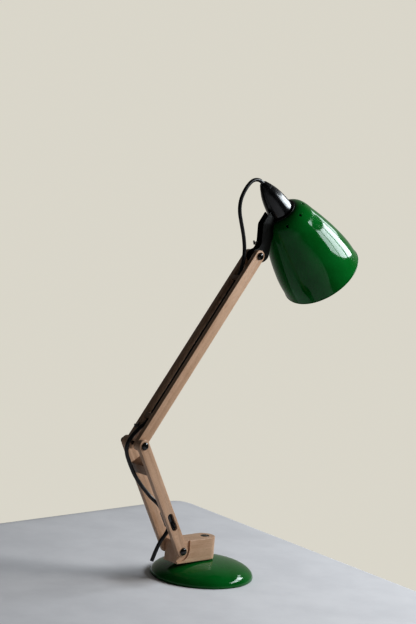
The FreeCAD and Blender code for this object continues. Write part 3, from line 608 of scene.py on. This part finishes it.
# wooden parts
strips = {"edge": 0.7 * mm, "hole": 3.05 * mm}


def makeStrip(name, place, length, side, material, body, replaced, slot=None):
    thickness, half = lamp["stripThickness"], lamp["stripWidth"] / 2
    inside = lamp["lowerInner"] if place is lowerArm else lamp["upperInner"]
    middle = (inside + thickness / 2) * (1 if side == "near" else -1)
    loops = [barLoop(0, length, half, 28)] + [circleLoop(x, 0, strips["hole"]) for x in (0, length)]
    if slot:
        low, high, width = [s * mm for s in slot]
        loops.append(barLoop(low + width / 2, high - width / 2, width / 2, 20)[::-1])
    mesh = plate(name, loops, thickness, strips["edge"], place, middle)
    addPiece(name, mesh, [material], body, [replaced])


for side in ("near", "far"):
    makeStrip("lowerStrip" + side.capitalize(), lowerArm, lamp["lowerLength"], side, lowerWood, "lower_arm",
              "lower_strip_" + side, (40, 71, 10) if side == "near" else None)
    makeStrip("upperStrip" + side.capitalize(), upperArm, lamp["upperLength"], side, upperWood, "upper_arm",
              "upper_strip_" + side)

spacers = {"lower": (147, 165), "upperLow": (42, 51), "upperHigh": (308, 317), "edge": 0.6 * mm,
           "hollowEdge": 0.5 * mm, "bore": 3.5 * mm}
half, gap = lamp["stripWidth"] / 2, lamp["lowerInner"]
addPiece("lowerSpacer", brick("lowerSpacer", (spacers["lower"][0] * mm, -half, -gap),
                              (spacers["lower"][1] * mm, half, gap), spacers["edge"], lowerArm),
         [spacerWood], "lower_arm", ["lower_spacer"])
for key, replaced in (("upperLow", "upper_spacer_low"), ("upperHigh", "upper_spacer_high")):
    low, high = spacers[key]
    gap = lamp["upperInner"]
    # the plate's own axes: X to the near side, Y to the rear, Z back down the arm
    across = upperArm @ Matrix(((0, 0, 1, 0), (0, 1, 0, 0), (-1, 0, 0, 0), (0, 0, 0, 1)))
    outline = roundedLoop([(-gap, -half), (gap, -half), (gap, half), (-gap, half)], spacers["hollowEdge"], 3)
    bore = circleLoop(0, flex["offset"] * mm, spacers["bore"])
    mesh = plate(key, [outline, bore], (high - low) * mm, spacers["hollowEdge"], across, (low + high) / 2 * mm)
    addPiece(key + "Spacer", mesh, [spacerWood], "upper_arm", [replaced])

print("wood made")

# clamping bolts, washers and wing nuts
clamp = {
    "headRadius": 6.0, "headHeight": 4.2, "shank": 3.0, "pitch": 1.0, "threadDepth": 0.35, "threadLength": 11.0,
    "washerRadius": 7.0, "washer": 1.2, "hubRadius": 5.6, "hubTip": 4.4, "hub": 7.0, "spare": 2.0,
    "nutGap": 0.1, "wing": 2.4, "wingCorner": 0.9, "wingEdge": 0.7, "baseTurn": 130.0, "elbowTurn": 147.0,
    "headTurn": 120.0,
}


def clampBolt(name, pivot, face, body, replaced):
    place = armPlace(pivot, 0)
    tail = -(face + clamp["washer"] + clamp["hub"] + clamp["spare"])
    rows = [(0, tail), (clamp["shank"] - 0.6, tail), (clamp["shank"] - 0.1, tail + 0.6)]
    steps = int(clamp["threadLength"] / clamp["pitch"] * 4)
    for i in range(steps):
        rows.append((clamp["shank"] - clamp["threadDepth"] * (0.5 + 0.5 * math.cos(math.pi * i / 2)),
                     tail + 0.8 + clamp["pitch"] * i / 4))
    rows += [(clamp["shank"], tail + 1.4 + clamp["threadLength"]), (clamp["shank"], face),
             (clamp["headRadius"] - 0.3, face), (clamp["headRadius"], face + 0.3)]
    for i in range(15):
        angle = math.radians(90 * i / 14)
        rows.append((clamp["headRadius"] * math.cos(angle) ** 0.8,
                     face + 0.9 + (clamp["headHeight"] - 0.9) * math.sin(angle)))
    rows[-1] = (0, rows[-1][1])
    addPiece(name, lathe(name, rows, place, 48), [blackBolts], body, [replaced], 40)


def clampWasher(name, pivot, face, body, replaced):
    place = armPlace(pivot, 0)
    low, high, r = -face, -face - clamp["washer"], clamp["washerRadius"]
    rows = [(clamp["shank"], low), (r - 0.2, low), (r, low - 0.2), (r, high + 0.3), (r - 0.3, high),
            (clamp["shank"] + 0.3, high), (clamp["shank"], high + 0.2)]
    addPiece(name, lathe(name, rows, place, 48, closed=True), [blackBolts], body, [replaced])


def wingNut(name, pivot, face, turn, body, replaced):
    start = face + clamp["washer"] + clamp["nutGap"]
    place = armPlace(pivot, 0)
    bore, hub, tip, tall = clamp["shank"] + 0.05, clamp["hubRadius"], clamp["hubTip"], clamp["hub"]
    rows = [(bore, -start - 0.3), (bore + 0.3, -start), (hub - 0.4, -start), (hub, -start - 0.4)]
    rows += [(hub + (tip - hub) * t - 0.25 * math.sin(math.pi * t), -start - 0.4 - (tall - 1.0) * t)
             for t in (0.2, 0.4, 0.6, 0.8)]
    rows += [(tip, -start - tall + 0.5), (tip - 0.5, -start - tall), (bore + 0.4, -start - tall),
             (bore, -start - tall + 0.4)]
    meshes = [lathe(name + "Hub", rows, place, 48, closed=True)]
    outline = [(3.4, 1.3), (hub, 1.3), (hub + 1.8, 2.5), (hub + 3.6, 3.9), (hub + 5.3, 5.8), (hub + 5.2, 7.5),
               (hub + 3.6, 8.1), (hub + 1.2, 7.2), (tip + 0.3, 6.1), (3.4, 6.1)]
    # the outline's height runs along the rear axis of the pivot's place, so the wings come out above the pivot
    wings = place @ Matrix.Rotation(math.radians(-turn), 4, "Y")
    for flip in (1, -1):
        corners = [(flip * x * mm, (start + y) * mm) for x, y in outline][::flip]
        loop = roundedLoop(corners, clamp["wingCorner"] * mm, 5)
        meshes.append(plate(name + "Wing", [loop], clamp["wing"] * mm, clamp["wingEdge"] * mm, wings))
    addPiece(name, joined(name, meshes), [blackBolts], body, [replaced], 40)


lowerFace = (lamp["lowerInner"] + lamp["stripThickness"]) / mm
upperFace = (lamp["upperInner"] + lamp["stripThickness"]) / mm
for word, pivot, face, arm in (("base", lamp["basePivot"], lowerFace, "lower_arm"),
                               ("elbow", elbow, lowerFace, "lower_arm"),
                               ("head", headPivot, upperFace, "upper_arm")):
    clampBolt(word + "Bolt", pivot, face, arm, word + "_bolt")
    clampWasher(word + "Washer", pivot, face, arm, word + "_washer")
    wingNut(word + "WingNut", pivot, face, clamp[word + "Turn"], word + "_nut", word + "_wing_nut")
print("clamps made")

# switch
switch = {
    "low": 41.0, "high": 73.0, "half": 5.2, "corner": 6.0, "back": 5.2, "split": 9.0, "floor": 16.2,
    "face": 20.0, "window": (43.0, 68.0, 7.0), "boss": (40.3, 70.7, 9.4), "screws": (51.0, 66.0),
    "screwRows": [(0, 4.75), (1.3, 4.75), (1.7, 5.0), (1.7, 5.6)], "round": 0.9 * mm, "edge": 0.4 * mm,
}
rocker = {
    "axis": 18.4, "tilt": 8.0, "gap": 0.5 * mm, "columns": 48, "rows": 12, "square": 0.45, "thick": 1.2 * mm,
    "rise": 2.0 * mm, "bend": 1.15, "lift": 1.6 * mm, "flatPart": 0.4, "thinnest": 0.02 * mm,
}


def makeSwitch():
    low, high, half, corner, depthBack, split, face, floor = (
        switch[k] * mm for k in ("low", "high", "half", "corner", "back", "split", "face", "floor"))
    inner = lamp["lowerInner"]
    # one corner slants where the flex leaves
    corners = [(low + corner, half), (low, half - corner), (low, -half), (high, -half), (high, half)]
    outline = roundedLoop(corners, switch["round"], 4)
    back = [plate("back", [outline], split - depthBack, switch["round"], lowerArm, (split + depthBack) / 2)]
    for along in switch["screws"]:
        where = lowerArm @ Matrix.Translation((along * mm, 0, 0))
        back.append(lathe("screw", switch["screwRows"], where, 24))
    addPiece("switchBack", joined("switchBack", back), [blackMoulded], "lower_arm",
             ["switch_back"], 40)
    front = [plate("front", [outline], inner - split, switch["edge"], lowerArm, (inner + split) / 2)]
    bossLow, bossHigh, bossWidth = [s * mm for s in switch["boss"]]
    winLow, winHigh, winWidth = [s * mm for s in switch["window"]]
    boss = barLoop(bossLow + bossWidth / 2, bossHigh - bossWidth / 2, bossWidth / 2)
    window = barLoop(winLow + winWidth / 2, winHigh - winWidth / 2, winWidth / 2)[::-1]
    front.append(plate("bezel", [boss, window], face - floor, switch["edge"], lowerArm, (face + floor) / 2))
    front.append(plate("floor", [boss], floor - inner + 0.2 * mm, 0.05 * mm, lowerArm, (floor + inner) / 2))
    addPiece("switchFront", joined("switchFront", front), [blackMoulded], "lower_arm",
             ["switch_front"], 40)
    makeRocker(winLow, winHigh, winWidth)


def makeRocker(winLow, winHigh, winWidth):
    # a dished top between two raised ends, round in plan
    reach, wide = (winHigh - winLow) / 2 - rocker["gap"], winWidth / 2 - rocker["gap"]
    columns, around = rocker["columns"], 2 * rocker["rows"]
    shape = bmesh.new()
    grid = []
    for i in range(columns + 1):
        x = -reach * math.cos(math.pi * i / columns)
        out = abs(x) / reach
        over = max(0.0, abs(x) - (reach - wide))
        breadth = max(rocker["thinnest"], math.sqrt(max(0.0, wide ** 2 - over ** 2)))
        top = rocker["thick"] + rocker["rise"] * out ** rocker["bend"]
        low = -rocker["thick"] + rocker["lift"] * max(0.0, out - rocker["flatPart"])
        ring = []
        for k in range(around):
            cosine, sine = math.cos(2 * math.pi * k / around), math.sin(2 * math.pi * k / around)
            flat = math.copysign(abs(cosine) ** rocker["square"], cosine)
            up = math.copysign(abs(sine) ** rocker["square"], sine)
            ring.append(shape.verts.new((x, breadth * flat, (top + low) / 2 + (top - low) / 2 * up)))
        grid.append(ring)
    for one, two in zip(grid, grid[1:]):
        for k in range(around):
            n = (k + 1) % around
            shape.faces.new((one[k], one[n], two[n], two[k]))
    shape.faces.new(grid[0])
    shape.faces.new(grid[-1][::-1])
    tilt = Matrix.Rotation(math.radians(rocker["tilt"]), 4, "Y")
    place = lowerArm @ Matrix.Translation(((winLow + winHigh) / 2, 0, rocker["axis"] * mm)) @ tilt
    addPiece("switchRocker", fromBmesh("switchRocker", shape, place), [blackMoulded], "rocker",
             ["switch_rocker"], 50)


makeSwitch()
print("switch made")

# shade
shade = {
    "rows": [(68.4, 0), (66.7, 30), (61.0, 62), (53.4, 92), (46.6, 114), (42.6, 127), (37.2, 138),
             (29.0, 144.6), (20.0, 146.0)],
    "neck": (14.4, 146.0), "sheet": 0.9, "bead": 1.1, "beadPlace": (67.9, 0.6), "vents": 8, "ventRadius": 2.0,
    "ventCircle": 36.8, "ventHeight": 134, "ventDepth": 30, "ventTurn": -5,
}


def makeShade():
    profile = smoothRows(shade["rows"], 9)
    neckRadius, neckHeight = shade["neck"]
    outside = profile + [shade["neck"]]
    inside = inset(profile, shade["sheet"]) + [(neckRadius, neckHeight - shade["sheet"])]
    bead = []
    for i in range(13):
        angle = math.radians(180 + 250 * i / 12)
        bead.append((shade["beadPlace"][0] + shade["bead"] * math.cos(angle),
                     shade["beadPlace"][1] + shade["bead"] * math.sin(angle)))
    # up the inside, over the neck and down the outside to the rolled bead; the inside is painted white
    rows = inside[1:] + outside[::-1][:-1]
    lined, beadTop = len(inside) - 2, len(rows) + 8
    return lathe("shade", rows + bead[::-1], headPlace, 192, closed=True,
                 paint=lambda n: 1 if n < lined or n >= beadTop else 0)


def cutVents(mesh):
    # a ring of round holes through the shoulder
    piece = bpy.data.objects.new("shadeBlank", mesh)
    bpy.context.scene.collection.objects.link(piece)
    cutter = bmesh.new()
    for k in range(shade["vents"]):
        turn = math.radians(360 / shade["vents"] * k + shade["ventTurn"])
        x, y = shade["ventCircle"] * math.cos(turn), -shade["ventCircle"] * math.sin(turn)
        where = Matrix.Translation(Vector((x, y, shade["ventHeight"])) * mm)
        radius = shade["ventRadius"] * mm
        bmesh.ops.create_cone(cutter, cap_ends=True, segments=24, radius1=radius, radius2=radius,
                              depth=shade["ventDepth"] * mm, matrix=where)
    tool = bpy.data.objects.new("ventTool", fromBmesh("ventTool", cutter, headPlace))
    bpy.context.scene.collection.objects.link(tool)
    for material in (greenEnamel, whiteEnamel):
        mesh.materials.append(material)
    tool.data.materials.append(greenEnamel)
    cut = piece.modifiers.new("vents", "BOOLEAN")
    cut.operation, cut.object, cut.solver = "DIFFERENCE", tool, "EXACT"
    bpy.context.view_layer.update()
    result = evaluatedMesh(piece)
    result.materials.clear()
    bpy.data.objects.remove(piece)
    bpy.data.objects.remove(tool)
    return result


addPiece("shade", cutVents(makeShade()), [greenEnamel, whiteEnamel], "head", ["shade"], 40)
print("shade made")

# bracket: two cheeks, a folded front web and a ring under the lampholder cover, in millimetres
bracket = {
    "half": 6.3, "sheet": 1.5, "edge": 0.35 * mm,
    "rear": [(94.2, 574.0, 1), (80.2, 587.4, 2), (66.5, 568.0, 3), (66.5, 536.0, 5), (60.5, 528.0, 2)],
    "ear": 10.5, "earFrom": 115, "earTo": 270,
    "webStart": (58.5, 505.7, 0.1), "ring": (14.2, 25.3, 146.2, 148.2), "tongue": (-33.0, -20),
    "front": [(74.0, 505.7, 6), (84.0, 513.5, 4), (88.0, 540.0, 6), (92.8, 556.0, 4), (99.0, 568.6, 1)],
}


def makeBracket():
    ear = []
    for i in range(15):
        angle = math.radians(bracket["earFrom"] + (bracket["earTo"] - bracket["earFrom"]) * i / 14)
        ear.append((headPivot.x / mm + bracket["ear"] * math.cos(angle),
                    headPivot.z / mm + bracket["ear"] * math.sin(angle), 0.3))
    corners = bracket["rear"] + ear + bracket["front"]
    # plates lie in the XZ plane, so local Y is world Z and local Z is the near side
    flat = Matrix(((1, 0, 0, 0), (0, 0, -1, 0), (0, 1, 0, 0), (0, 0, 0, 1)))
    outline = roundedLoop([(x * mm, z * mm, r * mm) for x, z, r in corners], mm, 5)
    sheet, half = bracket["sheet"] * mm, bracket["half"] * mm
    hole = circleLoop(headPivot.x, headPivot.z, strips["hole"])
    meshes = [plate("cheek", [outline, hole], sheet, bracket["edge"], flat, side * (half - sheet / 2))
              for side in (1, -1)]
    # the web follows the front edge only, without the arcs at its two ends
    edge = [(x * mm, z * mm, r * mm) for x, z, r in [bracket["webStart"]] + bracket["front"]]
    web = [Vector(p) for p in roundedLoop(edge, mm, 5)[6:-6]]
    inner = []
    for i, p in enumerate(web):
        way = (web[min(i + 1, len(web) - 1)] - web[max(i - 1, 0)]).normalized()
        inner.append(p + Vector((-way.y, way.x)) * sheet)
    band = [tuple(p) for p in web] + [tuple(p) for p in inner[::-1]]
    meshes.append(plate("web", [band], 2 * half - 0.4 * mm, 0.2 * mm, flat))
    bore, rim, low, high = bracket["ring"]
    ring = [(bore, low), (rim - 0.4, low), (rim, low + 0.4), (rim, high - 0.4), (rim - 0.4, high), (bore, high)]
    meshes.append(lathe("ring", ring, headPlace, 96, closed=True))
    start, end = bracket["tongue"]
    tongue = (start * mm, -half, low * mm), (end * mm, half, high * mm)
    meshes.append(brick("tongue", *tongue, 0.3 * mm, headPlace))
    addPiece("headBracket", joined("headBracket", meshes), [blackSteel], "head",
             ["head_bracket"], 35)


makeBracket()
print("bracket made")

# lampholder, cover and cord grip
holder = {
    "cover": [(21.3, 148.5), (20.9, 154.0), (19.9, 161.0), (18.6, 169.5), (16.9, 178.0), (14.0, 188.5),
              (10.6, 197.0)],
    "rim": (20.9, 148.2), "wall": 2.0, "flexHole": 3.2, "coverTop": 197.2, "gripBore": 3.05, "gripRibs": 5,
    "ribLow": 198.6, "ribPitch": 1.75, "ribTaper": 0.47, "barrelRadius": 14.0, "barrelBore": 11.5,
    "barrelLow": 112.0, "barrelTop": 150.0, "barrelFlange": 17.5, "threadPitch": 2.0,
}
clampRing = {"bore": 14.05, "tip": 144.9, "radius": 19.4, "flange": 20.0, "flutes": 36, "fluteDepth": 0.016}


def makeCover():
    outside = smoothRows(holder["cover"], 6)
    inside = [(max(r, holder["flexHole"]), min(z, 196.6)) for r, z in inset(outside, holder["wall"])][::-1]
    top = [(10.2, holder["coverTop"]), (holder["flexHole"], holder["coverTop"])]
    rows = [holder["rim"]] + outside + top + inside[1:]
    addPiece("lampholderCover", lathe("lampholderCover", rows, headPlace, 96, closed=True), [blackMoulded],
             "head", ["lampholder_cover"], 40)


def makeGrip():
    bore = holder["gripBore"]
    rows = [(bore, 197.25), (10.0, 197.25), (10.3, 197.6), (10.1, 198.3)]
    for i in range(holder["gripRibs"]):
        low = holder["ribLow"] + i * holder["ribPitch"]
        r = 10.0 - (low - holder["ribLow"]) * holder["ribTaper"]
        rows += [(r - 0.75, low), (r - 0.75, low + 0.35), (r - 0.15, low + 0.65), (r - 0.45, low + 1.35)]
    rows += [(5.5, 207.5), (5.1, 208.0), (3.4, 208.0), (bore, 207.6)]
    addPiece("cordGrip", lathe("cordGrip", rows, headPlace, 72, closed=True), [blackMoulded], "head",
             ["cord_grip"], 40)


def makeBarrel():
    low, top, out, bore, flange = (
        holder[k] for k in ("barrelLow", "barrelTop", "barrelRadius", "barrelBore", "barrelFlange"))
    rows = [(0, top - 4), (bore, top - 4), (bore, low + 0.4), (bore + 0.4, low), (out - 0.5, low),
            (out, low + 0.5)]
    z = low + holder["threadPitch"]
    while z < top - 12:
        rows += [(out, z), (out - 0.45, z + 0.5), (out - 0.45, z + 0.9), (out, z + 1.4)]
        z += holder["threadPitch"]
    rows += [(out, top - 1.5), (flange, top - 1.5), (flange, top + 1.5), (0, top + 1.5)]
    addPiece("lampholderBarrel", lathe("lampholderBarrel", rows, headPlace, 72), [blackMoulded], "head",
             ["lampholder_barrel"], 40)


def makeClampRing():
    bore, tip, out, flange = (clampRing[k] for k in ("bore", "tip", "radius", "flange"))
    rows = [(bore, tip - 6), (out - 0.8, tip - 6), (out, tip - 5.4), (out, tip - 1.6), (flange, tip - 1.2),
            (flange, tip), (bore, tip)]
    ring = lathe("clampRing", rows, headPlace, 144, closed=True)
    # grip flutes round the ring
    back = headPlace.inverted()
    for vert in ring.vertices:
        place = back @ vert.co
        if math.hypot(place.x, place.y) > (out - 0.2) * mm and place.z < (tip - 1.5) * mm:
            dip = 0.5 + 0.5 * math.cos(clampRing["flutes"] * math.atan2(place.y, place.x))
            wave = 1 - clampRing["fluteDepth"] * dip
            vert.co = headPlace @ Vector((place.x * wave, place.y * wave, place.z))
    addPiece("shadeClampRing", ring, [blackMoulded], "head", ["shade_clamp_ring"], 40)


makeCover()
makeGrip()
makeBarrel()
makeClampRing()

# bulb
bulb = {
    "glass": [(0.0, 33.0), (11.5, 35.4), (22.0, 42.0), (29.0, 54.0), (29.6, 66.0), (25.0, 80.0), (17.0, 95.0),
              (13.0, 105.0), (12.4, 110.6)],
    "closed": [(9.8, 110.9), (0, 110.9)], "capRadius": 11.0, "capLow": 111.0, "capTop": 137.0, "pinOut": 10.5,
}


def makeBulb():
    rows = smoothRows(bulb["glass"], 8)
    rows[0] = (0, rows[0][1])
    rows += bulb["closed"]
    addPiece("bulbGlass", lathe("bulbGlass", rows, headPlace, 96), [frosted], "head",
             ["bulb_glass"], 50)
    r, low, top = bulb["capRadius"], bulb["capLow"], bulb["capTop"]
    rows = [(9.7, low), (r - 0.3, low), (r, low + 0.4), (r, low + 1.5), (r - 0.35, low + 1.9),
            (r - 0.35, low + 2.4), (r, low + 2.8), (r, top - 1.5), (r - 0.5, top - 0.6), (r - 1.8, top),
            (0, top)]
    meshes = [lathe("cap", rows, headPlace, 64)]
    for side in (1, -1):
        pin = headPlace @ Matrix.Translation((0, side * bulb["pinOut"] * mm, (top - 7.5) * mm))
        pin = pin @ Matrix.Rotation(math.radians(-90 * side), 4, "X")
        meshes.append(lathe("pin", [(0, 0.9), (0.8, 0.9), (1.0, 0.7), (1.0, 0)], pin, 20))
    addPiece("bulbCap", joined("bulbCap", meshes), [aluminium], "head", ["bulb_cap"], 40)


makeBulb()
print("lampholder and bulb made")

# finishes for the pieces kept as they were designed
kept = {
    "pivot_block": blockWood, "base_weight": castIron, "base_pad": rubberPad,
    "swivel_thrust_washer": plainSteel, "swivel_plate_washer": plainSteel, "swivel_nut": plainSteel,
    "terminal_block": ceramic, "contact_plungers": brass,
}
for node, material in kept.items():
    for materialSlot in nodes[node].material_slots:
        materialSlot.material = material

# the table, the room and its light
room = {
    "cloth": (0.70, 0.70, 0.73, 1), "clothShade": (0.64, 0.64, 0.67, 1), "wall": (0.60, 0.58, 0.515, 1),
    "fill": (0.60, 0.58, 0.54, 1), "fillPower": (0.05, 0.5), "fillSide": (0.66, 0.75, 0.1),
    "edge": 0.012, "corner": 0.05, "drop": 0.25, "sink": 0.0001, "contrast": "Medium High Contrast",
    "corners": [(0.337, 0.447, 0.05), (-2.0, 0.318, 0.05), (-2.0, -2.4, 0.05), (0.06, -2.4, 0.05)],
}


def makeTable():
    edge, drop = room["edge"], room["drop"]
    outline = roundedLoop(room["corners"], room["corner"], 10)
    mesh = plate("tableTop", [outline], drop, edge, worldPlace, -drop / 2 - room["sink"])
    table = bpy.data.objects.new("tableTop", softened(mesh))
    bpy.context.scene.collection.objects.link(table)
    material = bpy.data.materials.new("paleCloth")
    material.use_nodes = True
    tree = material.node_tree
    shader = tree.nodes["Principled BSDF"]
    place = addNode(tree, "TexCoord").outputs["Object"]
    soft = noiseOf(tree, place, 9.0, 4.0, 0.6)
    tree.links.new(mixedColor(tree, ranged(tree, soft, 0.3, 0.7), room["cloth"], room["clothShade"]),
                   shader.inputs["Base Color"])
    shader.inputs["Roughness"].default_value = 0.9
    shader.inputs["Specular IOR Level"].default_value = 0.2
    mesh.materials.append(material)
    table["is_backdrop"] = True


# a wide low window to one side, and a soft lamp that only evens out the shadows
window = {
    "turn": -15.0, "distance": 1.5, "glow": 15.0, "color": (0.88, 0.95, 1.0),
    "panes": [(-1.35, -0.83, 0.905, 1.384, 0.8), (-0.77, -0.26, 0.905, 1.384, 1.0),
              (-0.18, 0.33, 0.905, 1.384, 1.0), (0.38, 0.75, 1.15, 1.384, 0.3)],
}
softKey = {"turn": -52.0, "distance": 1.7, "low": 0.9, "high": 1.6, "width": 0.8, "watts": 17.0,
           "color": (1.0, 0.97, 0.92)}


def softLight(name, turn, distance, aside, low, high, width, watts, color, mirrored=True):
    # an upright panel facing the lamp, at a bearing in degrees from +X
    bearing = math.radians(turn)
    outwards = Vector((math.cos(bearing), math.sin(bearing), 0))
    sideways = Vector((-outwards.y, outwards.x, 0))
    light = bpy.data.lights.new(name, "AREA")
    light.shape = "RECTANGLE"
    light.size, light.size_y = width, high - low
    light.energy = watts
    light.color = color
    lightObject = bpy.data.objects.new(name, light)
    bpy.context.scene.collection.objects.link(lightObject)
    lightObject.location = outwards * distance + sideways * aside + Vector((0, 0, (low + high) / 2))
    lightObject.rotation_euler = (-outwards).to_track_quat("-Z", "Y").to_euler()
    lightObject.visible_glossy = mirrored


def makeRoom():
    world = bpy.data.worlds.new("room")
    bpy.context.scene.world = world
    world.use_nodes = True
    tree = world.node_tree
    fill = tree.nodes["Background"]
    fill.inputs["Color"].default_value = room["fill"]
    # the far right of the room is the lighter part
    towards = addNode(tree, "TexCoord").outputs["Generated"]
    facing = addNode(tree, "VectorMath", {"operation": "DOT_PRODUCT"}, i0=towards, i1=room["fillSide"])
    strength = ranged(tree, facing.outputs["Value"], 0.2, 0.9, *room["fillPower"])
    tree.links.new(strength, fill.inputs["Strength"])
    wall = addNode(tree, "Background", None, Color=room["wall"], Strength=1.0)
    seen = addNode(tree, "LightPath").outputs["Is Camera Ray"]
    mix = addNode(tree, "MixShader", None, i0=seen, i1=fill.outputs[0], i2=wall.outputs[0])
    tree.links.new(mix.outputs[0], tree.nodes["World Output"].inputs["Surface"])
    for number, (left, right, low, high, power) in enumerate(window["panes"]):
        size = (right - left) * (high - low)
        softLight("windowPane" + str(number), window["turn"], window["distance"], (left + right) / 2, low, high,
                  right - left, window["glow"] * power * size * math.pi, window["color"])
    softLight("softKey", aside=0, mirrored=False, **softKey)
    bpy.context.scene.view_settings.view_transform = "Standard"
    bpy.context.scene.view_settings.look = room["contrast"]


makeTable()
makeRoom()
print("room lit")

low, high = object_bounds()
